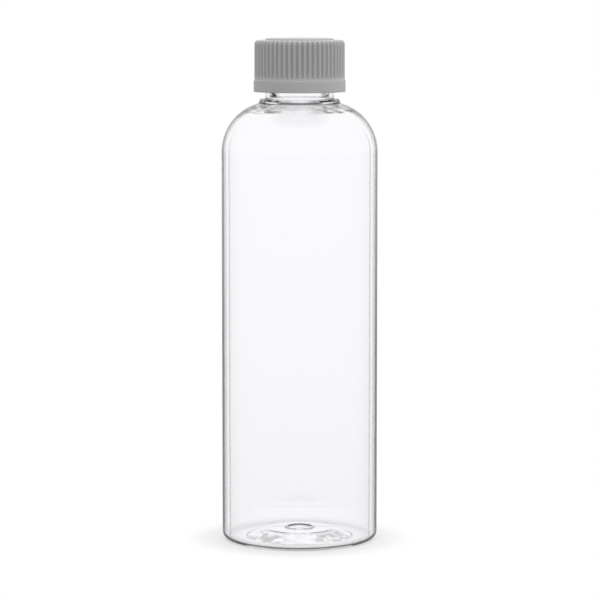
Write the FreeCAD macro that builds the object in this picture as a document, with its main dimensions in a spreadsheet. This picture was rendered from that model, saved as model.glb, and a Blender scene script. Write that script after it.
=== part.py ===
import FreeCAD
import Part
import Sketcher
import math
import os
import re

# A child-resistant clear plastic bottle with its push-and-turn screw cap, in millimetres.
# The bottle stands on its foot ring: the origin is at the middle of that ring, +Z up.
# Three pieces: the blown bottle, the inner cap that screws on its neck, and the outer shell
# that is snapped over the inner cap and has to be pressed down before it can unscrew it.

SIZES = {
    # blown body
    "body_radius": 24.1,
    "body_wall": 0.75,
    "shoulder_start": 120.85,
    "shoulder_radius": 15.4,
    "shoulder_wall": 1.0,
    "heel_radius": 2.25,
    "foot_wall": 0.9,
    "foot_width": 5.2,
    # pushed-up base: a sloping flank, a shallow dome on it and the marks of the moulding gate
    "flank_width": 6.5,
    "flank_rise": 2.6,
    "flank_round": 6.0,
    "foot_round": 1.2,
    "dome_rise": 2.85,
    "dome_wall": 1.1,
    "gate_radius": 1.1,
    "gate_drop": 0.4,
    "gate_ring_radius": 4.15,
    "gate_ring_section": 0.75,
    "gate_ring_sink": 0.3,
    # neck finish
    "neck_radius": 10.6,
    "neck_wall": 1.75,
    "finish_height": 15.05,
    "bead_sink": 0.3,
    "bead_height": 1.05,
    "bead_overhang": 2.15,
    "bead_slant": 0.6,
    "bead_round": 0.2,
    "neck_fillet": 0.6,
    "rim_round": 0.4,
    "throat_round": 0.6,
    "throat_land": 0.7,
    # inner cap
    "thread_depth": 1.2,
    "thread_clearance": 0.15,
    "inner_skirt_wall": 0.7,
    "inner_skirt_length": 10.6,
    "inner_plate": 1.1,
    "inner_corner": 0.5,
    # drive teeth between the inner cap and the shell
    "tooth_count": 8,
    "tooth_height": 0.7,
    "tooth_width": 2.4,
    "tooth_ramp": 1.2,
    "tooth_length": 3.4,
    "tooth_inset": 1.8,
    "drive_gap": 0.3,
    # shell
    "shell_clearance": 0.3,
    "shell_wall": 1.1,
    "shell_plate": 1.05,
    "shell_height": 15.85,
    "shell_draft": 0.06,
    "crown_round": 0.9,
    "disc_inset": 3.55,
    "disc_height": 0.55,
    "disc_round": 0.3,
    "band_height": 3.5,
    "band_step": 0.12,
    "band_round": 0.2,
    "ledge_height": 0.4,
    "snap_depth": 0.55,
    "snap_height": 0.8,
    "snap_clearance": 0.3,
    # grip flutes round the shell
    "flute_count": 54,
    "flute_section": 0.5,
    "flute_depth": 0.38,
    "flute_start": 0.25,
}

# Heights and radii that several outlines share, each built once from the sizes above.
SHOULDER_TOP = "(shoulder_start + shoulder_radius)"
FLANK_FOOT = "(body_radius - heel_radius - foot_width)"
DOME_RADIUS = f"({FLANK_FOOT} - flank_width)"
BODY_BORE = "(body_radius - body_wall)"
BEAD_BOTTOM = f"({SHOULDER_TOP} - bead_sink)"
BEAD_TOP = f"({BEAD_BOTTOM} + bead_height)"
BEAD_RADIUS = "(neck_radius + bead_overhang)"
BEAD_TOP_RADIUS = f"({BEAD_RADIUS} - bead_slant)"
NECK_BORE = "(neck_radius - neck_wall)"
RIM = f"({SHOULDER_TOP} + finish_height)"
INNER_ARC_RADIUS = "(shoulder_radius - shoulder_wall)"
INNER_ARC_AXIS = f"({BODY_BORE} - {INNER_ARC_RADIUS})"
THROAT_RADIUS = f"max({INNER_ARC_AXIS}; {NECK_BORE} + throat_land)"
THROAT_BOTTOM = f"(shoulder_start + sqrt({INNER_ARC_RADIUS}^2 - ({THROAT_RADIUS} - {INNER_ARC_AXIS})^2))"
INNER_BORE = "(neck_radius + thread_depth + thread_clearance)"
INNER_RADIUS = f"({INNER_BORE} + inner_skirt_wall)"
INNER_BOTTOM = f"({RIM} - inner_skirt_length)"
INNER_TOP = f"({RIM} + inner_plate)"
TOOTH_START = f"({INNER_RADIUS} - tooth_inset - tooth_length)"
CEILING = f"({INNER_TOP} + 2 * tooth_height + drive_gap)"
CROWN = f"({CEILING} + shell_plate)"
SHELL_TOP = f"({CROWN} + disc_height)"
SHELL_BOTTOM = f"({CROWN} - shell_height)"
SHELL_BORE = f"({INNER_RADIUS} + shell_clearance)"
SNAP_RADIUS = f"({SHELL_BORE} - snap_depth)"
SNAP_TOP = f"({INNER_BOTTOM} - snap_clearance)"
SHELL_RADIUS = f"({SHELL_BORE} + shell_wall)"
CROWN_RADIUS = f"({SHELL_RADIUS} - shell_draft)"
DISC_RADIUS = f"({SHELL_RADIUS} - disc_inset)"
BAND_RADIUS = f"({SHELL_RADIUS} + band_step)"
BAND_TOP = f"({SHELL_BOTTOM} + band_height)"
LEDGE_TOP = f"({BAND_TOP} + ledge_height)"
FLUTE_AXIS = f"({SHELL_RADIUS} + flute_section - flute_depth)"
FLUTE_BOTTOM = f"({LEDGE_TOP} + flute_start)"

doc = FreeCAD.newDocument("ChildResistantBottle")
sheet = doc.addObject("Spreadsheet::Sheet", "Sizes")
for row, (alias, number) in enumerate(SIZES.items(), start=1):
    sheet.set(f"A{row}", alias)
    sheet.set(f"B{row}", str(number))
    sheet.setAlias(f"B{row}", alias)
doc.recompute()

# Where each outline's corners came to lie, looked up by the corner's two expressions.
corner_places = {}


def in_sheet(word):
    return f"Sizes.{word.group()}" if word.group() in SIZES else word.group()


def bind(feature, name, expression):
    # ties a property to the spreadsheet, where each size is found as Sizes.its_name
    feature.setExpression(name, re.sub(r"[a-z_]+", in_sheet, expression))


def new_body(label):
    body = doc.addObject("PartDesign::Body", label)
    body.Label = label
    body.Placement = FreeCAD.Placement()
    return body


def new_sketch(body, name):
    # a sketch on the body's own XZ plane: across is along +X and up is along +Z
    sketch = body.newObject("Sketcher::SketchObject", name)
    upright = next(plane for plane in body.Origin.OriginFeatures if plane.Role == "XZ_Plane")
    sketch.AttachmentSupport = [(upright, "")]
    sketch.MapMode = "FlatFace"
    return sketch


def fix_point(sketch, geometry, position, across, up):
    for direction, expression in (("DistanceX", across), ("DistanceY", up)):
        constraint = Sketcher.Constraint(direction, -1, 1, geometry, position, 1.0)
        index = sketch.addConstraint(constraint)
        bind(sketch, f"Constraints[{index}]", expression)


def arc_centre(start, end, tangent):
    # the centre of the arc from start to end that is tangent to a line through start
    square = FreeCAD.Vector(-tangent.y, tangent.x, 0)
    chord = end - start
    return start + square * (chord.dot(chord) / (2 * square.dot(chord)))


def arc_centre_on_axis(start, end):
    # the centre of the arc from start to end that lies on the axis of the piece
    return FreeCAD.Vector(0, (end.dot(end) - start.dot(start)) / (2 * (end.y - start.y)), 0)


def add_arc(sketch, near, far, centre):
    # adds the shorter arc about a centre and returns it with the ends that lie near and far
    near_angle = math.atan2(near.y - centre.y, near.x - centre.x)
    far_angle = math.atan2(far.y - centre.y, far.x - centre.x)
    circle = Part.Circle(centre, FreeCAD.Vector(0, 0, 1), (near - centre).Length)
    if (far_angle - near_angle) % (2 * math.pi) < math.pi:
        return sketch.addGeometry(Part.ArcOfCircle(circle, near_angle, far_angle)), 1, 2
    return sketch.addGeometry(Part.ArcOfCircle(circle, far_angle, near_angle)), 2, 1


def outline(body, name, corners, arcs=None):
    # A closed outline in the XZ plane. Each corner is two expressions, across and up. Side i runs
    # from corner i to the next. arcs names the sides that are arcs: tangent to the side "before"
    # or "after" it, or with its centre "on axis".
    arcs = arcs or {}
    count = len(corners)
    sketch = new_sketch(body, name)
    for corner in corners:
        point = sketch.addGeometry(Part.Point(FreeCAD.Vector()), True)
        fix_point(sketch, point, 1, *corner)
    doc.recompute()
    places = [sketch.getPoint(point, 1) for point in range(count)]
    corner_places.update(zip(corners, places))

    lines = {}
    for side in range(count):
        if side not in arcs:
            after = (side + 1) % count
            line = sketch.addGeometry(Part.LineSegment(places[side], places[after]))
            sketch.addConstraint(Sketcher.Constraint("Coincident", line, 1, side, 1))
            sketch.addConstraint(Sketcher.Constraint("Coincident", line, 2, after, 1))
            lines[side] = line

    for side, kind in arcs.items():
        near, far = side, (side + 1) % count
        if kind == "on axis":
            centre = arc_centre_on_axis(places[near], places[far])
            arc, near_end, far_end = add_arc(sketch, places[near], places[far], centre)
            sketch.addConstraint(Sketcher.Constraint("Coincident", arc, near_end, near, 1))
            sketch.addConstraint(Sketcher.Constraint("PointOnObject", arc, 3, -2))
        else:
            touched = (side - 1) % count
            line_end = 2
            if kind == "after":
                near, far = far, near
                touched = (side + 1) % count
                line_end = 1
            tangent = places[(touched + 1) % count] - places[touched]
            centre = arc_centre(places[near], places[far], tangent)
            arc, near_end, far_end = add_arc(sketch, places[near], places[far], centre)
            sketch.addConstraint(
                Sketcher.Constraint("Tangent", arc, near_end, lines[touched], line_end))
        sketch.addConstraint(Sketcher.Constraint("Coincident", arc, far_end, far, 1))
    doc.recompute()
    return sketch


def turn(body, kind, name, sketch, axis="V_Axis"):
    # a full turn of an outline: a "Revolution" adds it and a "Groove" cuts it away
    feature = body.newObject(f"PartDesign::{kind}", name)
    feature.Profile = sketch
    feature.ReferenceAxis = (sketch, [axis])
    feature.Angle = 360
    body.Tip = feature
    doc.recompute()
    return feature


def repeat_round(body, name, feature, sketch, count):
    pattern = body.newObject("PartDesign::PolarPattern", name)
    pattern.Originals = [feature]
    pattern.Axis = (sketch, ["V_Axis"])
    pattern.Angle = 360
    bind(pattern, "Occurrences", count)
    body.Tip = pattern
    doc.recompute()


def round_rings(body, name, radius, corners):
    # rounds the ring that each outline corner was turned into: of the circles about the axis
    # with the corner's radius, the one nearest in height
    base = body.Tip
    names = []
    for corner in corners:
        place = corner_places[corner]
        rings = []
        for index, edge in enumerate(base.Shape.Edges, start=1):
            if edge.Degenerated or not isinstance(edge.Curve, Part.Circle):
                continue
            centre = edge.Curve.Center
            wide = edge.Curve.Radius - place.x
            if math.hypot(centre.x, centre.y, wide) < 1e-4:
                rings.append((abs(centre.z - place.y), f"Edge{index}"))
        names.append(min(rings)[1])
    fillet = body.newObject("PartDesign::Fillet", name)
    fillet.Base = (base, names)
    bind(fillet, "Radius", radius)
    body.Tip = fillet
    doc.recompute()


def drive_teeth(body, name, root, tip, side):
    # A ring of drive teeth from the height root to the height tip. Each has an upright flank on
    # the side given as 1 or -1 and a ramp on the other, so that the shell always drives the inner
    # cap when it closes and slips over it when it opens, unless it is pressed down.
    teeth = outline(body, name + "Outline", [
        (f"-({side}) * tooth_width / 2", root),
        (f"({side}) * tooth_width / 2", root),
        (f"({side}) * tooth_width / 2", tip),
        (f"({side}) * (tooth_ramp - tooth_width / 2)", tip),
    ])
    bind(teeth, "AttachmentOffset.Base.z", TOOTH_START)
    tooth = body.newObject("PartDesign::Pad", name)
    tooth.Profile = teeth
    bind(tooth, "Length", "tooth_length")
    body.Tip = tooth
    doc.recompute()
    repeat_round(body, name + "Ring", tooth, teeth, "tooth_count")


def make_bottle():
    body = new_body("bottle")
    # outside of the blown body: gate mark, dome, flank, foot ring, heel, wall and shoulder
    outside = outline(body, "OutsideOutline", [
        ("0", "dome_rise - gate_drop"),
        ("gate_radius", "dome_rise - gate_drop"),
        ("gate_radius", "dome_rise"),
        (DOME_RADIUS, "flank_rise"),
        (FLANK_FOOT, "0"),
        ("body_radius - heel_radius", "0"),
        ("body_radius", "heel_radius"),
        ("body_radius", "shoulder_start"),
        ("body_radius - shoulder_radius", SHOULDER_TOP),
        ("0", SHOULDER_TOP),
    ], {2: "on axis", 5: "before", 7: "before"})
    turn(body, "Revolution", "Outside", outside)
    # neck finish, with a support bead that rises straight from the shoulder and slants outward
    # towards its underside
    neck = outline(body, "NeckOutline", [
        ("0", "shoulder_start"),
        ("neck_radius", "shoulder_start"),
        ("neck_radius", BEAD_BOTTOM),
        (BEAD_RADIUS, BEAD_BOTTOM),
        (BEAD_TOP_RADIUS, BEAD_TOP),
        ("neck_radius", BEAD_TOP),
        ("neck_radius", RIM),
        ("0", RIM),
    ])
    turn(body, "Revolution", "Neck", neck)
    # inside of the body: an even wall, thicker at the shoulder, the foot and the dome. The arc of
    # the shoulder ends on a flat land round the throat, which the round of the throat needs.
    inside = outline(body, "InsideOutline", [
        ("0", "dome_rise + dome_wall"),
        (DOME_RADIUS, "flank_rise + dome_wall"),
        (f"{FLANK_FOOT} - foot_wall / 2", "foot_wall"),
        ("body_radius - heel_radius", "foot_wall"),
        (BODY_BORE, "heel_radius"),
        (BODY_BORE, "shoulder_start"),
        (THROAT_RADIUS, THROAT_BOTTOM),
        ("0", THROAT_BOTTOM),
    ], {0: "on axis", 3: "after", 5: "before"})
    turn(body, "Groove", "Inside", inside)
    bore = outline(body, "BoreOutline", [
        ("0", "shoulder_start"),
        (NECK_BORE, "shoulder_start"),
        (NECK_BORE, RIM),
        ("0", RIM),
    ])
    turn(body, "Groove", "Bore", bore)
    # the low ring round the gate, raised on the inside of the dome
    ring = new_sketch(body, "GateRingOutline")
    circle = ring.addGeometry(Part.Circle(FreeCAD.Vector(), FreeCAD.Vector(0, 0, 1), 1))
    fix_point(ring, circle, 3, "gate_ring_radius", "dome_rise + dome_wall - gate_ring_sink")
    section = ring.addConstraint(Sketcher.Constraint("Radius", circle, 1))
    bind(ring, f"Constraints[{section}]", "gate_ring_section")
    turn(body, "Revolution", "GateRing", ring)
    dome_corners = [(DOME_RADIUS, "flank_rise"), (DOME_RADIUS, "flank_rise + dome_wall")]
    round_rings(body, "DomeRound", "flank_round", dome_corners)
    foot_corners = [(FLANK_FOOT, "0"), (f"{FLANK_FOOT} - foot_wall / 2", "foot_wall")]
    round_rings(body, "FootRound", "foot_round", foot_corners)
    bead_corners = [(BEAD_RADIUS, BEAD_BOTTOM), (BEAD_TOP_RADIUS, BEAD_TOP)]
    level_from = corner_places[("body_radius - shoulder_radius", SHOULDER_TOP)].x
    if level_from > corner_places[bead_corners[0]].x:
        # the shoulder is level out past the bead, so the bead's lower corner is inside it
        bead_corners = bead_corners[1:]
    round_rings(body, "BeadRound", "bead_round", bead_corners)
    round_rings(body, "NeckFillet", "neck_fillet", [("neck_radius", BEAD_TOP)])
    round_rings(body, "RimRound", "rim_round", [("neck_radius", RIM), (NECK_BORE, RIM)])
    round_rings(body, "ThroatRound", "throat_round", [(NECK_BORE, "shoulder_start")])
    return body


def make_inner_cap():
    body = new_body("cap_inner")
    # a cup upside down: its plate lies on the bottle's rim and its skirt clears the thread
    cup = outline(body, "CupOutline", [
        ("0", RIM),
        (INNER_BORE, RIM),
        (INNER_BORE, INNER_BOTTOM),
        (INNER_RADIUS, INNER_BOTTOM),
        (INNER_RADIUS, INNER_TOP),
        ("0", INNER_TOP),
    ])
    turn(body, "Revolution", "Cup", cup)
    round_rings(body, "CupRound", "inner_corner", [(INNER_RADIUS, INNER_TOP)])
    drive_teeth(body, "Tooth", INNER_TOP, f"{INNER_TOP} + tooth_height", 1)
    return body


def make_shell():
    body = new_body("cap_shell")
    # outside: plain band, ledge, skirt with a little draft, crown and raised disc
    outside = outline(body, "OutsideOutline", [
        ("0", SHELL_BOTTOM),
        (BAND_RADIUS, SHELL_BOTTOM),
        (BAND_RADIUS, BAND_TOP),
        (SHELL_RADIUS, LEDGE_TOP),
        (CROWN_RADIUS, CROWN),
        (DISC_RADIUS, CROWN),
        (DISC_RADIUS, SHELL_TOP),
        ("0", SHELL_TOP),
    ])
    turn(body, "Revolution", "Outside", outside)
    # inside: room for the inner cap, above a bead that snaps under its lower edge
    inside = outline(body, "InsideOutline", [
        ("0", SHELL_BOTTOM),
        (SHELL_BORE, SHELL_BOTTOM),
        (SHELL_BORE, f"{SNAP_TOP} - snap_height"),
        (SNAP_RADIUS, f"{SNAP_TOP} - snap_height / 2"),
        (SNAP_RADIUS, SNAP_TOP),
        (SHELL_BORE, SNAP_TOP),
        (SHELL_BORE, CEILING),
        ("0", CEILING),
    ])
    turn(body, "Groove", "Inside", inside)
    round_rings(body, "CrownRound", "crown_round", [(CROWN_RADIUS, CROWN)])
    round_rings(body, "DiscRound", "disc_round", [(DISC_RADIUS, SHELL_TOP)])
    band_corners = [(BAND_RADIUS, SHELL_BOTTOM), (SHELL_BORE, SHELL_BOTTOM)]
    round_rings(body, "BandRound", "band_round", band_corners)
    drive_teeth(body, "Lug", CEILING, f"{CEILING} - tooth_height", -1)
    # one grip flute with a round lower end, cut by turning its outline about its own upright axis
    flute_bottom = (FLUTE_AXIS, FLUTE_BOTTOM)
    flute_top = (FLUTE_AXIS, SHELL_TOP)
    flute_outline = outline(body, "FluteOutline", [
        flute_bottom,
        (f"{FLUTE_AXIS} + flute_section", f"{FLUTE_BOTTOM} + flute_section"),
        (f"{FLUTE_AXIS} + flute_section", SHELL_TOP),
        flute_top,
    ], {0: "after"})
    axis_ends = [corner_places[flute_bottom], corner_places[flute_top]]
    axis = flute_outline.addGeometry(Part.LineSegment(*axis_ends), True)
    flute_outline.addConstraint(Sketcher.Constraint("Coincident", axis, 1, 0, 1))
    flute_outline.addConstraint(Sketcher.Constraint("Coincident", axis, 2, 3, 1))
    flute = turn(body, "Groove", "Flute", flute_outline, "Axis0")
    repeat_round(body, "Flutes", flute, flute_outline, "flute_count")
    return body


bodies = [make_bottle(), make_inner_cap(), make_shell()]

for item in doc.Objects:
    if "Invalid" in item.State or "Error" in item.State:
        raise RuntimeError(f"{item.Label} did not build: {item.State}")
for body in bodies:
    if body.Shape.isNull() or not body.Shape.isValid() or len(body.Shape.Solids) != 1:
        raise RuntimeError(f"{body.Label} is not one valid solid")

os.makedirs("parts", exist_ok=True)
for body in bodies:
    body.Shape.exportStep(f"parts/{body.Label}.step")
    box = body.Shape.optimalBoundingBox()
    print(f"{body.Label}: {body.Shape.Volume / 1000:.3f} cm3, {box.XLength:.2f} mm wide,"
          f" from {box.ZMin:.2f} to {box.ZMax:.2f} mm up")
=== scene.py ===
import math
import bpy
import bmesh
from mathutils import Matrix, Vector


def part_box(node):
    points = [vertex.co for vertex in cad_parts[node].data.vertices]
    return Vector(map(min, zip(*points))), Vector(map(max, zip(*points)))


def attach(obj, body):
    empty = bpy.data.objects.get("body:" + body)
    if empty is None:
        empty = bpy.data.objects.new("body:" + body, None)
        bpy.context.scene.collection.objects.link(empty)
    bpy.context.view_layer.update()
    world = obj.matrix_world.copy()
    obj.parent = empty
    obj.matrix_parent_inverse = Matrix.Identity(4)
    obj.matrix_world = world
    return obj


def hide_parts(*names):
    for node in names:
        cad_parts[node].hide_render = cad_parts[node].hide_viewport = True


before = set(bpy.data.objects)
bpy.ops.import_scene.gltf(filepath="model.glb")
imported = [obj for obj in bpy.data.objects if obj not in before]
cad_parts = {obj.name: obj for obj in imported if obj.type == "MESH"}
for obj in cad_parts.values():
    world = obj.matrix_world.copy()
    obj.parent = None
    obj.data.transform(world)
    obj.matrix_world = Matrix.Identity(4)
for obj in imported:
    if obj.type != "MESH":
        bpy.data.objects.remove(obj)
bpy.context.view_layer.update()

# shapes are given in millimetres, and turned into metres where a mesh is made
mm = 0.001
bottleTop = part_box("bottle")[1]
bottleRadius, bottleRim = bottleTop.x / mm, bottleTop.z / mm
shellBase, shellTop = (corner.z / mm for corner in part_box("cap_shell"))


# a number in a material: sums are written as Python expressions
class Value:
    def __init__(self, bench, socket):
        self.bench = bench
        self.socket = socket

    def combine(self, operation, first, second):
        made = self.bench.add("ShaderNodeMath", {"operation": operation}, {0: first, 1: second})
        return Value(self.bench, made.outputs[0])

    def __add__(self, other):
        return self.combine("ADD", self, other)

    def __radd__(self, other):
        return self.combine("ADD", other, self)

    def __sub__(self, other):
        return self.combine("SUBTRACT", self, other)

    def __rsub__(self, other):
        return self.combine("SUBTRACT", other, self)

    def __mul__(self, other):
        return self.combine("MULTIPLY", self, other)

    def __rmul__(self, other):
        return self.combine("MULTIPLY", other, self)

    def __truediv__(self, other):
        return self.combine("DIVIDE", self, other)

    def __mod__(self, other):
        return self.combine("MODULO", self, other)

    def __pow__(self, other):
        return self.combine("POWER", self, other)

    def __gt__(self, other):
        return self.combine("GREATER_THAN", self, other)

    def __lt__(self, other):
        return self.combine("LESS_THAN", self, other)

    def clamped(self):
        made = self.bench.add("ShaderNodeClamp", None, {"Value": self})
        return Value(self.bench, made.outputs[0])


# one material's nodes: all of them come from add
class Bench:
    def __init__(self, tree):
        self.tree = tree
        tree.nodes.clear()

    def add(self, kind, settings=None, sockets=None):
        made = self.tree.nodes.new(kind)
        for name, setting in (settings or {}).items():
            if name == "stops":
                self.setStops(made.color_ramp, setting)
            else:
                setattr(made, name, setting)
        for key, given in (sockets or {}).items():
            if isinstance(given, Value):
                given = given.socket
            if isinstance(given, bpy.types.NodeSocket):
                self.tree.links.new(given, made.inputs[key])
            else:
                made.inputs[key].default_value = given
        return made

    def setStops(self, ramp, stops):
        while len(ramp.elements) < len(stops):
            ramp.elements.new(1)
        for element, (place, level) in zip(ramp.elements, stops):
            element.position = place
            element.color = (level, level, level, 1)

    def value(self, made, output=0):
        return Value(self, made.outputs[output])

    def ramp(self, value, start, reach, stops):
        # stops are (place, level) pairs, with places as shares of the reach from the start
        if (start, reach) != (0, 1):
            value = (value - start) / reach
        return self.value(self.add("ShaderNodeValToRGB", {"stops": stops}, {"Fac": value}))

    def scaled(self, vector, factors):
        made = self.add("ShaderNodeVectorMath", {"operation": "MULTIPLY"}, {0: vector, 1: factors})
        return made.outputs[0]

    def length(self, vector):
        made = self.add("ShaderNodeVectorMath", {"operation": "LENGTH"}, {0: vector})
        return self.value(made, "Value")

    def parts(self, vector):
        made = self.add("ShaderNodeSeparateXYZ", None, {0: vector})
        return [self.value(made, i) for i in range(3)]

    def noise(self, vector, scale, detail):
        return self.value(self.add("ShaderNodeTexNoise", None, {
            "Vector": vector, "Scale": scale, "Detail": detail}))

    def blend(self, share, first, second):
        made = self.add("ShaderNodeMix", {"data_type": "RGBA"}, {
            "Factor": share, 6: first, 7: second})
        return made.outputs[2]

    def bump(self, height, strength, distance):
        made = self.add("ShaderNodeBump", None, {
            "Strength": strength, "Distance": distance, "Height": height})
        return made.outputs["Normal"]

    def plastic(self, sockets):
        surface = self.add("ShaderNodeBsdfPrincipled", None, sockets)
        self.add("ShaderNodeOutputMaterial", None, {"Surface": surface.outputs[0]})


def newMaterial(name):
    material = bpy.data.materials.new(name)
    material.use_nodes = True
    return material, Bench(material.node_tree)


turning = {
    "samePoint": 0.01,
    "shortEnd": 0.3,
    "weld": 0.002,
    "smoothBelow": 32,  # degrees
}


def rounded(corners, steps):
    # an outline through (radius, height, rounding) corners, each rounding as an arc
    made = []
    for i, (across, up, rounding) in enumerate(corners):
        here = Vector((across, up))
        if rounding == 0 or i in (0, len(corners) - 1):
            made.append((across, up))
            continue
        toBefore = (Vector(corners[i - 1][:2]) - here).normalized()
        toAfter = (Vector(corners[i + 1][:2]) - here).normalized()
        half = toBefore.angle(toAfter) / 2
        reach = rounding / math.tan(half)
        centre = here + (toBefore + toAfter).normalized() * (rounding / math.sin(half))
        first = here + toBefore * reach - centre
        sweep = math.pi - 2 * half
        side = 1 if first.cross(here + toAfter * reach - centre) > 0 else -1
        for step in range(steps + 1):
            turn = side * sweep * step / steps
            made.append((centre.x + first.x * math.cos(turn) - first.y * math.sin(turn),
                         centre.y + first.x * math.sin(turn) + first.y * math.cos(turn)))
    return made


def arc(centre, width, height, start, end, steps):
    # angles in degrees, from the outward direction up
    turns = [math.radians(start + (end - start) * i / steps) for i in range(steps + 1)]
    return [(centre[0] + width * math.cos(t), centre[1] + height * math.sin(t)) for t in turns]


def joined(runs, longest):
    # one outline from several runs: shared points once, and long stretches divided, with a short
    # piece at each end that keeps the shading true
    made = []
    for point in [point for run in runs for point in run]:
        if not made:
            made.append(point)
            continue
        last = Vector(made[-1])
        step = Vector(point) - last
        if step.length < turning["samePoint"]:
            continue
        if step.length > longest:
            count = math.ceil(step.length / longest)
            end = turning["shortEnd"] / step.length
            parts = [end] + [i / count for i in range(1, count)] + [1 - end]
            made.extend(tuple(last + step * part) for part in parts)
        made.append(point)
    return made


def turnPiece(name, outline, steps):
    # the outline is drawn point by point and spun about the upright axis
    points = [Vector((across, 0, up)) * mm for across, up in outline]
    bpy.ops.object.select_all(action="DESELECT")
    bpy.ops.mesh.primitive_plane_add(size=mm, location=points[0])
    piece = bpy.context.object
    piece.name = name
    bpy.ops.object.mode_set(mode="EDIT")
    bpy.ops.mesh.select_all(action="SELECT")
    bpy.ops.mesh.merge(type="CENTER")
    for before, after in zip(points, points[1:]):
        bpy.ops.mesh.extrude_region_move(TRANSFORM_OT_translate={"value": after - before})
    bpy.ops.mesh.select_all(action="SELECT")
    bpy.ops.mesh.spin(steps=steps, angle=2 * math.pi, center=(0, 0, 0), axis=(0, 0, 1))
    bpy.ops.mesh.select_all(action="SELECT")
    bpy.ops.mesh.remove_doubles(threshold=turning["weld"] * mm)
    bpy.ops.mesh.normals_make_consistent(inside=False)
    bpy.ops.object.mode_set(mode="OBJECT")
    bpy.ops.object.transform_apply(location=True, rotation=True, scale=True)
    bpy.ops.object.shade_smooth_by_angle(angle=math.radians(turning["smoothBelow"]))
    return piece


bottleShape = {
    "spinSteps": 240,
    "longestStretch": 4.0,
    "roundSteps": 10,
    "finishSteps": 6,
    "shoulderSteps": 40,
    "ringSteps": 12,
    "wall": 0.6,
    "shoulderStart": 120.85,
    "shoulderRadius": 15.4,
    "shoulderWall": 0.5,
    "heel": 2.25,
    "innerHeel": 1.6,
    "footWall": 0.67,
    "footWidth": 5.2,
    "footRound": 1.2,
    "flankWidth": 6.5,
    "flankRise": 2.4,
    "flankRound": 4.0,
    "domeRise": 2.65,
    "domeWall": 0.6,
    "gateRadius": 1.1,
    "gateDrop": 0.4,
    "gateRound": 0.12,
    "gateRingRadius": 4.15,
    "gateRingHalfWidth": 0.55,
    "gateRingHeight": 0.34,
    "neck": 10.6,
    "neckWall": 1.2,
    "throatRound": 0.15,
    "throatCut": 0.99,  # keeps the rounding off the shoulder's first point
    "beadSink": 0.15,  # how far the shoulder rises past the bead's foot
    "beadHeight": 1.05,
    "beadOverhang": 2.15,
    "beadSlant": 0.6,
    "beadRound": 0.2,
    "neckFillet": 0.6,
    "rimRound": 0.4,
}


def outsideOfBottle(shape, start, shoulder):
    # from the middle of the base, over the foot and up to the bead
    flankFoot = bottleRadius - shape["heel"] - shape["footWidth"]
    gate = shape["gateRadius"]
    underGate = shape["domeRise"] - shape["gateDrop"]
    base = rounded([
        (0, underGate, 0),
        (gate, underGate, shape["gateRound"]),
        (gate, shape["domeRise"], shape["gateRound"]),
        (flankFoot - shape["flankWidth"], shape["flankRise"], shape["flankRound"]),
        (flankFoot, 0, shape["footRound"]),
        (bottleRadius, 0, shape["heel"]),
        (bottleRadius, start, 0),
    ], shape["roundSteps"])
    axis = bottleRadius - shoulder
    bead = shape["neck"] + shape["beadOverhang"]
    beadAngle = math.degrees(math.acos((bead - axis) / shoulder))
    return base, arc((axis, start), shoulder, shoulder, 0, beadAngle, shape["shoulderSteps"])


def insideOfBottle(shape, start, shoulder, throat):
    # from the throat down the wall, and over the base's inside to its middle
    inner = bottleRadius - shape["wall"]
    radius = shoulder - shape["shoulderWall"]
    axis = inner - radius
    throatAngle = math.degrees(math.acos((throat - axis) / radius))
    innerShoulder = arc((axis, start), radius, radius, throatAngle, 0, shape["shoulderSteps"])
    flankFoot = bottleRadius - shape["heel"] - shape["footWidth"]
    dome = flankFoot - shape["flankWidth"]
    innerDome = shape["domeRise"] + shape["domeWall"]
    ring = shape["gateRingRadius"]
    ringFoot = innerDome - (shape["domeRise"] - shape["flankRise"]) / dome * ring
    floor = rounded([
        (inner, start, 0),
        (inner, shape["footWall"], shape["innerHeel"]),
        (flankFoot - shape["footWall"] / 2, shape["footWall"], shape["footRound"]),
        (dome, shape["flankRise"] + shape["domeWall"], shape["flankRound"]),
        (ring, ringFoot, 0),
    ], shape["roundSteps"])[:-1]
    ringBump = arc((ring, ringFoot), shape["gateRingHalfWidth"], shape["gateRingHeight"],
                   0, 180, shape["ringSteps"])
    return innerShoulder, floor, ringBump, [(0, innerDome)]


def bottleOutline(shape):
    start = shape["shoulderStart"]
    shoulder = shape["shoulderRadius"]
    neck = shape["neck"]
    bore = neck - shape["neckWall"]
    throat = bore + shape["throatRound"]
    beadHigh = start + shoulder - shape["beadSink"] + shape["beadHeight"]
    beadEdge = neck + shape["beadOverhang"] - shape["beadSlant"]
    base, outerShoulder = outsideOfBottle(shape, start, shoulder)
    innerShoulder, *floor = insideOfBottle(shape, start, shoulder, throat)
    ceiling = innerShoulder[0][1]
    finish = rounded([
        (*outerShoulder[-1], 0),
        (beadEdge, beadHigh, shape["beadRound"]),
        (neck, beadHigh, shape["neckFillet"]),
        (neck, bottleRim, shape["rimRound"]),
        (bore, bottleRim, shape["rimRound"]),
        (bore, ceiling, shape["throatRound"] * shape["throatCut"]),
        (throat, ceiling, 0),
    ], shape["finishSteps"])[:-1]
    return joined([base, outerShoulder, finish, innerShoulder, *floor], shape["longestStretch"])


bottle = turnPiece("clearBottle", bottleOutline(bottleShape), bottleShape["spinSteps"])
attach(bottle, "root")
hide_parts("bottle")
print("bottle:", len(bottle.data.polygons), "faces")


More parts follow.
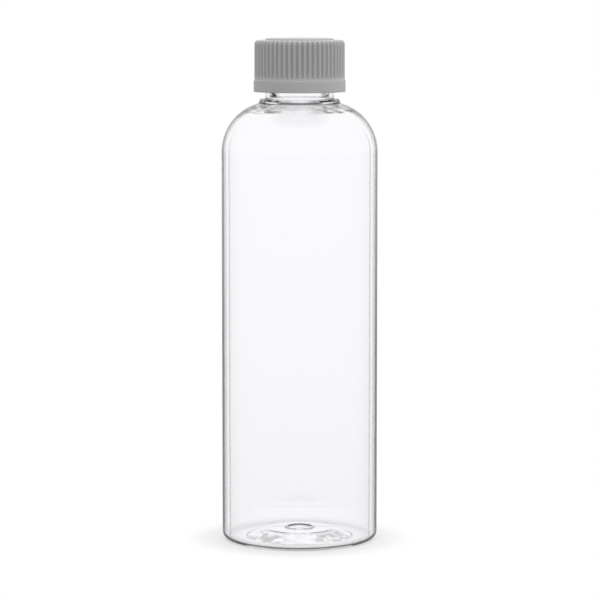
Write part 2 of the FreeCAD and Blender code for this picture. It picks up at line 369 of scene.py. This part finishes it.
shellShape = {
    "ribs": 54,
    "columnsPerRib": 12,
    "longestStretch": 0.8,
    "roundSteps": 8,
    "band": 14.17,
    "bandHeight": 3.5,
    "bandRound": 0.2,
    "ledgeHeight": 0.15,
    "ledgeRound": 0.1,
    "crest": 13.94,
    "crown": 13.91,
    "crownRound": 1.2,
    "disc": 10.5,
    "discHeight": 0.55,
    "discRound": 0.45,
    "discFoot": 0.12,
    "fluteDepth": 0.6,
    "fluteStart": 0.45,
    "fluteEnd": 0.6,
    "fluteRunOut": 0.5,
    "ribShare": 2.3,  # over 2 leaves a land on each rib
    "bore": 12.95,
    "snap": 12.4,
    "ceiling": 154.1,
    "snapTop": 140.4,
    "snapHeight": 0.8,
    "insideSkin": 0.3,  # this much outside the bore counts as outside
    "cornerSkin": 0.05,
    "leastMove": 0.0001,
    "moveDigits": 4,
}


def shellOutline(shape):
    bandTop = shellBase + shape["bandHeight"]
    crownTop = shellTop - shape["discHeight"]
    snapBase = shape["snapTop"] - shape["snapHeight"]
    return joined([rounded([
        (0, shellTop, 0),
        (shape["disc"], shellTop, shape["discRound"]),
        (shape["disc"], crownTop, shape["discFoot"]),
        (shape["crown"], crownTop, shape["crownRound"]),
        (shape["crest"], bandTop + shape["ledgeHeight"], shape["ledgeRound"]),
        (shape["band"], bandTop, shape["ledgeRound"]),
        (shape["band"], shellBase, shape["bandRound"]),
        (shape["bore"], shellBase, shape["bandRound"]),
        (shape["bore"], snapBase, 0),
        (shape["snap"], snapBase + shape["snapHeight"] / 2, 0),
        (shape["snap"], shape["snapTop"], 0),
        (shape["bore"], shape["snapTop"], 0),
        (shape["bore"], shape["ceiling"], 0),
        (0, shape["ceiling"], 0),
    ], shape["roundSteps"])], shape["longestStretch"])


def fluteDepth(shape, phase, height):
    # at a phase of the rib (0 in a flute, 0.5 on a crest) and a height above the ledge
    lift = (height - shape["fluteStart"]) / shape["fluteEnd"]
    if lift <= 0:
        return 0
    fade = 1 if lift >= 1 else math.sqrt(1 - (1 - lift) ** 2)
    wave = math.cos(math.pi * min(1, shape["ribShare"] * phase / fade))
    return shape["fluteDepth"] * fade * (0.5 + 0.5 * wave)


def onOutside(shape, radius, height):
    # outside the bore, or over its ceiling and at the crown's rounding
    overBore = height > shape["ceiling"] + shape["cornerSkin"]
    atCrown = radius > shape["crown"] - shape["crownRound"] - shape["cornerSkin"]
    return radius > shape["bore"] + shape["insideSkin"] or (overBore and atCrown)


def pressFlutes(piece, shape):
    # points are drawn in towards the axis, all those that move by the same share at a time
    ledgeTop = shellBase + shape["bandHeight"] + shape["ledgeHeight"]
    crownTop = shellTop - shape["discHeight"]
    columns = shape["ribs"] * shape["columnsPerRib"]
    bpy.ops.object.select_all(action="DESELECT")
    piece.select_set(True)
    bpy.context.view_layer.objects.active = piece
    bpy.ops.object.mode_set(mode="EDIT")
    mesh = bmesh.from_edit_mesh(piece.data)
    rings = {}
    for vertex in mesh.verts:
        radius = math.hypot(vertex.co.x, vertex.co.y) / mm
        up = vertex.co.z / mm
        if up - ledgeTop < shape["fluteStart"] or not onOutside(shape, radius, up):
            continue
        column = round(math.atan2(vertex.co.y, vertex.co.x) / (2 * math.pi) * columns)
        phase = (column % shape["columnsPerRib"]) / shape["columnsPerRib"]
        depth = fluteDepth(shape, min(phase, 1 - phase), up - ledgeTop)
        # the flutes follow the rounding of the crown, and run out just under its top
        wanted = radius - depth * min(1, max(0, crownTop - up) / shape["fluteRunOut"])
        if wanted < radius - shape["leastMove"]:
            rings.setdefault(round(wanted / radius, shape["moveDigits"]), []).append(vertex)
    for scale, vertices in rings.items():
        bpy.ops.mesh.select_all(action="DESELECT")
        for vertex in vertices:
            vertex.select = True
        mesh.select_flush_mode()
        bpy.ops.transform.resize(value=(scale, scale, 1), center_override=(0, 0, 0))
    bpy.ops.object.mode_set(mode="OBJECT")


shell = turnPiece("capShell", shellOutline(shellShape),
                  shellShape["ribs"] * shellShape["columnsPerRib"])
pressFlutes(shell, shellShape)
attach(shell, "root")
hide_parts("cap_shell")
print("cap shell:", len(shell.data.polygons), "faces")


# a ramp is its start, reach and stops, over a face's turn from the viewer (0 to 1) unless its
# name says heights or radii
clearLook = {
    "tint": (0.99, 0.985, 1.0, 1),
    "bend": 1.57,
    "skin": 0.3,  # this much inside the outer face still counts as the outer face
    "neckSide": 12.9,  # the neck is within this radius, the body outside it
    "footReach": 0.6,
    "paintedEdgeShade": (0, 1, [(0.0, 1.0), (0.34, 1.0), (0.5, 0.95), (0.556, 0.92),
                        (0.566, 0.44), (0.584, 0.44), (0.594, 1.0)]),
    "paintedEdgeShadeHeights": (bottleShape["shoulderStart"], 10, [(0.2, 1.0), (0.9, 0.0)]),
    "paintedWallShade": 0.04,  # share of the colour that the painted shade leaves where a ray ran round inside the wall
    "wallTurn": 0.2,
    "neckPaintedReflection": (0, 1, [(0.17, 0.0), (0.28, 1.0), (0.46, 1.0), (0.56, 0.0)]),
    "neckPaintedReflectionHeights": (137.4, 2, [(0.0, 0.0), (0.25, 1.0)]),
    "beadPaintedReflection": (0, 1, [(0.05, 0.0), (0.14, 1.0), (0.42, 1.0), (0.5, 0.3)]),
    "beadPaintedReflectionHeights": (136.2, 2, [(0.0, 0.0), (0.12, 1.0), (0.35, 1.0), (0.46, 0.0)]),
    "streakStretch": (1, 1, 2.4),
    "streakScale": 420.0,
    "streakDetail": 2.0,
    "streakLevels": (0, 1, [(0.3, 0.6), (0.5, 1.0)]),
    "shoulderPaintedReflectionStrength": 0.8,
    "shoulderPaintedReflection": (0, 1, [(0.66, 0.0), (0.76, 1.0)]),
    "shoulderPaintedReflectionHeights": (128, 10, [(0.25, 0.0), (0.4, 1.0), (0.58, 1.0), (0.66, 0.0)]),
    "paintedBodyShadeHeights": (0, 70, [(0.07, 1.0), (0.12, 0.975), (0.3, 0.98), (0.5, 0.988),
                                 (0.9, 1.0)]),
    "paintedPatchShade": (0.065, 0.04, 0.018, 1),
    "paintedPatchTurn": (0, 1, [(0.26, 0.0), (0.4, 1.0)]),
    "axisGap": 0.01,  # keeps the axis from dividing by nothing
    "paintedPatchAside": (0, 1, [(0.2, 0.32), (0.5, 1.0)]),
    "paintedPatchAlong": (0.2, -1, [(0.2, 0.0), (0.5, 1.0)]),  # counted from the far side to the near one
    "footPaintedPatch": 0.75,
    "footPaintedPatchTop": 4.3,
    "footPaintedPatchRadii": (0, 25, [(0.42, 0.0), (0.48, 1.0), (0.64, 1.0), (0.72, 0.0)]),
    "neckPaintedPatchHeights": (128, 10, [(0.48, 0.0), (0.54, 1.0), (0.68, 1.0), (0.76, 0.0)]),
    "patchStretch": (1, 1, 3.4),
    "patchScale": 300.0,
    "patchDetail": 4.0,
    "patchLevels": (0, 1, [(0.36, 0.0), (0.57, 1.0)]),
    "waveScale": 60.0,
    "waveDetail": 1.0,
    "waveStrength": 0.02,
    "waveHeight": 0.5,
}


def outerFaces(out, up, look):
    # where a point is on the outer face: of the body and shoulder by its distance from the
    # shoulder's own ring, of the heel by its distance from the heel's
    start, shoulder = bottleShape["shoulderStart"], bottleShape["shoulderRadius"]
    heel = bottleShape["heel"]
    above = (up - start) * (up > start)
    fromShoulder = (out - (bottleRadius - shoulder)) ** 2 + above ** 2
    onWall = (fromShoulder > (shoulder - look["skin"]) ** 2) * (out > look["neckSide"])
    fromHeel = (out - bottleRadius + heel) ** 2 + (up - heel) ** 2
    onHeel = (fromHeel > (heel - look["skin"]) ** 2) * (up < heel)
    return onWall, onHeel * (out > bottleRadius - heel - look["footReach"])


def paintedWallShade(bench, facing, up, onWall, onHeel, look):
    # painted shade: a dark line painted into the colour where the wall turns edge on, with a soft
    # painted shade on its inner side
    line = bench.ramp(facing, *look["paintedEdgeShade"])
    line = 1 - (1 - line) * bench.ramp(up, *look["paintedEdgeShadeHeights"])
    # painted shade: where a ray ran round inside the wall, the colour is darkened to a small share
    path = bench.add("ShaderNodeLightPath")
    through = bench.value(path, "Transmission Depth")
    ran = (through > 0.5) * (through < 1.5) * (bench.value(path, "Glossy Depth") % 2 > 0.5)
    paintedDarkening = 1 - look["paintedWallShade"]
    level = 1 - onWall * (1 - line * (1 - ran * (facing > look["wallTurn"]) * paintedDarkening))
    return level * (1 - onHeel * ran * paintedDarkening)


def paintedDarkReflections(bench, coords, facing, out, up, onWall, look):
    # painted reflection: dark streaks on the neck and the bead, beside their middles, stand for the
    # cap's dark underside
    onNeck = (out < look["neckSide"]) * (out > bottleShape["neck"] - look["skin"])
    streaks = bench.noise(bench.scaled(coords, look["streakStretch"]),
                          look["streakScale"], look["streakDetail"])
    streaks = bench.ramp(streaks, *look["streakLevels"])
    neck = bench.ramp(facing, *look["neckPaintedReflection"]) * bench.ramp(up, *look["neckPaintedReflectionHeights"])
    bead = bench.ramp(facing, *look["beadPaintedReflection"]) * bench.ramp(up, *look["beadPaintedReflectionHeights"])
    level = 1 - (neck + bead).clamped() * onNeck * streaks
    # and a painted dark reflection on the shoulder where it turns edge on
    edge = bench.ramp(facing, *look["shoulderPaintedReflection"]) * onWall
    edge = edge * bench.ramp(up, *look["shoulderPaintedReflectionHeights"])
    return level * (1 - edge * look["shoulderPaintedReflectionStrength"])


def paintedShadePatches(bench, coords, facing, out, up, look):
    # painted shade: dark patches round the foot and under the neck, beside the mould's seam,
    # that stand for dark surroundings seen through the plastic
    aside, along = (part / mm for part in bench.parts(coords)[:2])
    around = out + look["axisGap"]
    side = bench.ramp((aside * aside) ** 0.5 / around, *look["paintedPatchAside"])
    side = side * bench.ramp(along / around, *look["paintedPatchAlong"])
    foot = bench.ramp(out, *look["footPaintedPatchRadii"]) * (up < look["footPaintedPatchTop"])
    neck = bench.ramp(up, *look["neckPaintedPatchHeights"]) * (out > look["neckSide"])
    patches = bench.noise(bench.scaled(coords, look["patchStretch"]),
                          look["patchScale"], look["patchDetail"])
    patches = bench.ramp(patches, *look["patchLevels"])
    where = side * bench.ramp(facing, *look["paintedPatchTurn"]) * (foot * look["footPaintedPatch"] + neck)
    return patches * where


def clearPlastic(look):
    material, bench = newMaterial("clearBottlePlastic")
    coords = bench.add("ShaderNodeTexCoord").outputs["Object"]
    out = bench.length(bench.scaled(coords, (1, 1, 0))) / mm
    up = bench.parts(coords)[2] / mm
    facing = bench.value(bench.add("ShaderNodeLayerWeight", None, {"Blend": 0.5}), "Facing")
    onWall, onHeel = outerFaces(out, up, look)
    level = paintedWallShade(bench, facing, up, onWall, onHeel, look)
    level = level * paintedDarkReflections(bench, coords, facing, out, up, onWall, look)
    # painted shade: the body's colour is a little darker low down, up to about 63 mm
    level = level * bench.ramp(up, *look["paintedBodyShadeHeights"])
    patchShade = paintedShadePatches(bench, coords, facing, out, up, look)
    # painted shade: the dark patch colour is mixed into the tint
    tint = bench.blend(patchShade, look["tint"], look["paintedPatchShade"])
    wave = bench.noise(coords, look["waveScale"], look["waveDetail"])
    bench.plastic({
        "Base Color": bench.blend(level, (0, 0, 0, 1), tint),
        "Roughness": 0.0,
        "IOR": look["bend"],
        "Transmission Weight": 1.0,
        "Normal": bench.bump(wave, look["waveStrength"], look["waveHeight"] * mm),
    })
    return material


capLook = {
    "bend": 1.49,
    "greyShell": 0.365,
    "greyInner": 0.75,
    "cloudScale": 90.0,
    "cloudDetail": 2.0,
    "cloudShare": 0.03,
    "grainScale": 2600.0,
    "grainDetail": 3.0,
    "grainStrength": 0.25,
    "grainHeight": 0.03,
    "smoothest": 0.4,
    "rougherByGrain": 0.12,
    "paintedFluteShade": 0.16,
    "paintedFluteShadeDrop": 1,  # the painted shade ends this far below the top
}


def paintedFluteShade(bench, coords, look):
    # painted shade: the flutes are painted darker than the ribs between them, more where they are
    # deeper
    out = bench.length(bench.scaled(coords, (1, 1, 0))) / mm
    depth = ((shellShape["crown"] - out) / shellShape["fluteDepth"]).clamped()
    top = (shellTop - look["paintedFluteShadeDrop"]) * mm
    return depth * (bench.parts(coords)[2] < top) * look["paintedFluteShade"]


def mouldedPlastic(name, grey, look, fluted):
    material, bench = newMaterial(name)
    coords = bench.add("ShaderNodeTexCoord").outputs["Object"]
    grain = bench.noise(coords, look["grainScale"], look["grainDetail"])
    cloud = bench.noise(coords, look["cloudScale"], look["cloudDetail"])
    darker, lighter = ([grey * (1 + side * look["cloudShare"])] * 3 + [1] for side in (-1, 1))
    paintedShade = paintedFluteShade(bench, coords, look) if fluted else 0.0
    bench.plastic({
        "Base Color": bench.blend(paintedShade, bench.blend(cloud, darker, lighter), (0, 0, 0, 1)),
        "Roughness": grain * look["rougherByGrain"] + look["smoothest"],
        "IOR": look["bend"],
        "Normal": bench.bump(grain, look["grainStrength"], look["grainHeight"] * mm),
    })
    return material


greyPlastic = mouldedPlastic("greyCapPlastic", capLook["greyShell"], capLook, True)
whitePlastic = mouldedPlastic("whiteCapPlastic", capLook["greyInner"], capLook, False)
for piece, material in ((bottle, clearPlastic(clearLook)), (shell, greyPlastic)):
    piece.data.materials.clear()
    piece.data.materials.append(material)
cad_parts["cap_inner"].material_slots[0].material = whitePlastic
print("materials done")


studio = {
    "floorReach": 350,
    "floorSides": 96,
    "floorDrop": 0.05,
    "floorGrey": 0.3,
    "shadowStart": 28,
    "shadowFade": 8,
    "floorGlow": 0.51,
    "paintedPoolGlow": 0.45,
    "paintedPoolRadii": (0, 23, [(0.0, 1.0), (0.65, 1.0), (1.0, 0.0)]),
    "backdropHeights": (0, 1, [(0.0, 1.0), (0.86, 1.0), (0.95, 0.25)]),
    "cardLight": 0.85,
    "lowCards": 0.12,
    "lowCardLight": 0.3,
    "fromRight": 0.26,
    "fromBehind": 0.24,
    "fromAbove": 1.25,
    "light": 0.95,
    "bounces": 32,
    "glossyBounces": 16,
}

bpy.ops.object.select_all(action="DESELECT")
bpy.ops.mesh.primitive_circle_add(vertices=studio["floorSides"], radius=studio["floorReach"] * mm,
                                  fill_type="NGON", location=(0, 0, -studio["floorDrop"] * mm))
floor = bpy.context.object
floor.name = "paleFloor"
bpy.ops.object.transform_apply(location=True, rotation=True, scale=True)

# paper that keeps the piece's shadow near it, and turns into plain white further out
paperMaterial, bench = newMaterial("paleFloorPaper")
path = bench.add("ShaderNodeLightPath")
throughPlastic = bench.value(path, "Is Transmission Ray")
mirrored = bench.value(path, "Is Glossy Ray")
seen = (bench.value(path, "Is Camera Ray") + throughPlastic + mirrored).clamped()
fromOutside = mirrored * (bench.value(path, "Transmission Depth") < 0.5)
caught = 1 - fromOutside * (1 - studio["lowCardLight"])
away = bench.length(bench.add("ShaderNodeTexCoord").outputs["Object"]) / mm
plain = ((away - studio["shadowStart"]) / studio["shadowFade"]).clamped() * seen
paper = bench.add("ShaderNodeBsdfDiffuse", None, {"Color": [studio["floorGrey"]] * 3 + [1]})
# painted light: a pool of extra glow on the floor under the bottle, full within 15 mm of the axis
# and gone by 23 mm
paintedPool = bench.ramp(away, *studio["paintedPoolRadii"]) * studio["paintedPoolGlow"]
glow = bench.add("ShaderNodeEmission", None, {
    "Strength": seen * caught * (paintedPool + studio["floorGlow"])})
both = bench.add("ShaderNodeAddShader", None, {0: paper.outputs[0], 1: glow.outputs[0]})
white = bench.add("ShaderNodeEmission", None, {"Strength": caught})
mixed = bench.add("ShaderNodeMixShader", None, {0: plain, 1: both.outputs[0], 2: white.outputs[0]})
bench.add("ShaderNodeOutputMaterial", None, {"Surface": mixed.outputs[0]})
floor.data.materials.append(paperMaterial)

# a white backdrop with darker cards low down and overhead, which only the plastic mirrors
world = bpy.data.worlds.new("paleStudio")
bpy.context.scene.world = world
world.use_nodes = True
bench = Bench(world.node_tree)
path = bench.add("ShaderNodeLightPath")
right, behind, above = bench.parts(bench.add("ShaderNodeTexCoord").outputs["Generated"])
background = bench.value(path, "Is Camera Ray")
direct = (bench.value(path, "Is Glossy Ray") + bench.value(path, "Is Transmission Ray")).clamped()
mirrored = bench.value(path, "Transmission Depth") < 0.5
mirrored = mirrored * (bench.value(path, "Glossy Depth") < 1.5)
towardsFloor = 1 - (above / studio["lowCards"] + 1).clamped()
cards = studio["cardLight"] - towardsFloor * (studio["cardLight"] - studio["lowCardLight"])
backdrop = bench.ramp(above, *studio["backdropHeights"]) * (1 - mirrored * (1 - cards))
lamp = 1 + right * studio["fromRight"] + behind * studio["fromBehind"] + above * studio["fromAbove"]
lit = direct * backdrop + (1 - direct) * lamp * studio["light"]
glow = bench.add("ShaderNodeBackground", None, {
    "Color": (1, 1, 1, 1), "Strength": background + (1 - background) * lit})
bench.add("ShaderNodeOutputWorld", None, {"Surface": glow.outputs[0]})

# in metres and degrees
view = {
    "distance": 0.893,
    "height": 0.173,
    "aimHeight": 0.07465,
    "aimAside": 0.00012,
    "halfAngle": 5.925,
    "sensor": 36,
    "nearest": 0.01,
    "furthest": 50,
}

camera = bpy.data.cameras.new("productCamera")
cameraObject = bpy.data.objects.new("productCamera", camera)
bpy.context.scene.collection.objects.link(cameraObject)
cameraObject.location = (view["aimAside"], -view["distance"], view["height"])
aim = Vector((view["aimAside"], 0, view["aimHeight"])) - cameraObject.location
cameraObject.rotation_euler = aim.to_track_quat("-Z", "Y").to_euler()
camera.sensor_width = view["sensor"]
camera.lens = view["sensor"] / 2 / math.tan(math.radians(view["halfAngle"]))
camera.clip_start = view["nearest"]
camera.clip_end = view["furthest"]
bpy.context.scene.camera = cameraObject
bpy.context.scene.view_settings.view_transform = "Standard"
bouncing = bpy.context.scene.cycles
bouncing.max_bounces = studio["bounces"]
bouncing.transmission_bounces = studio["bounces"]
bouncing.glossy_bounces = studio["glossyBounces"]
print("floor, light and camera done")
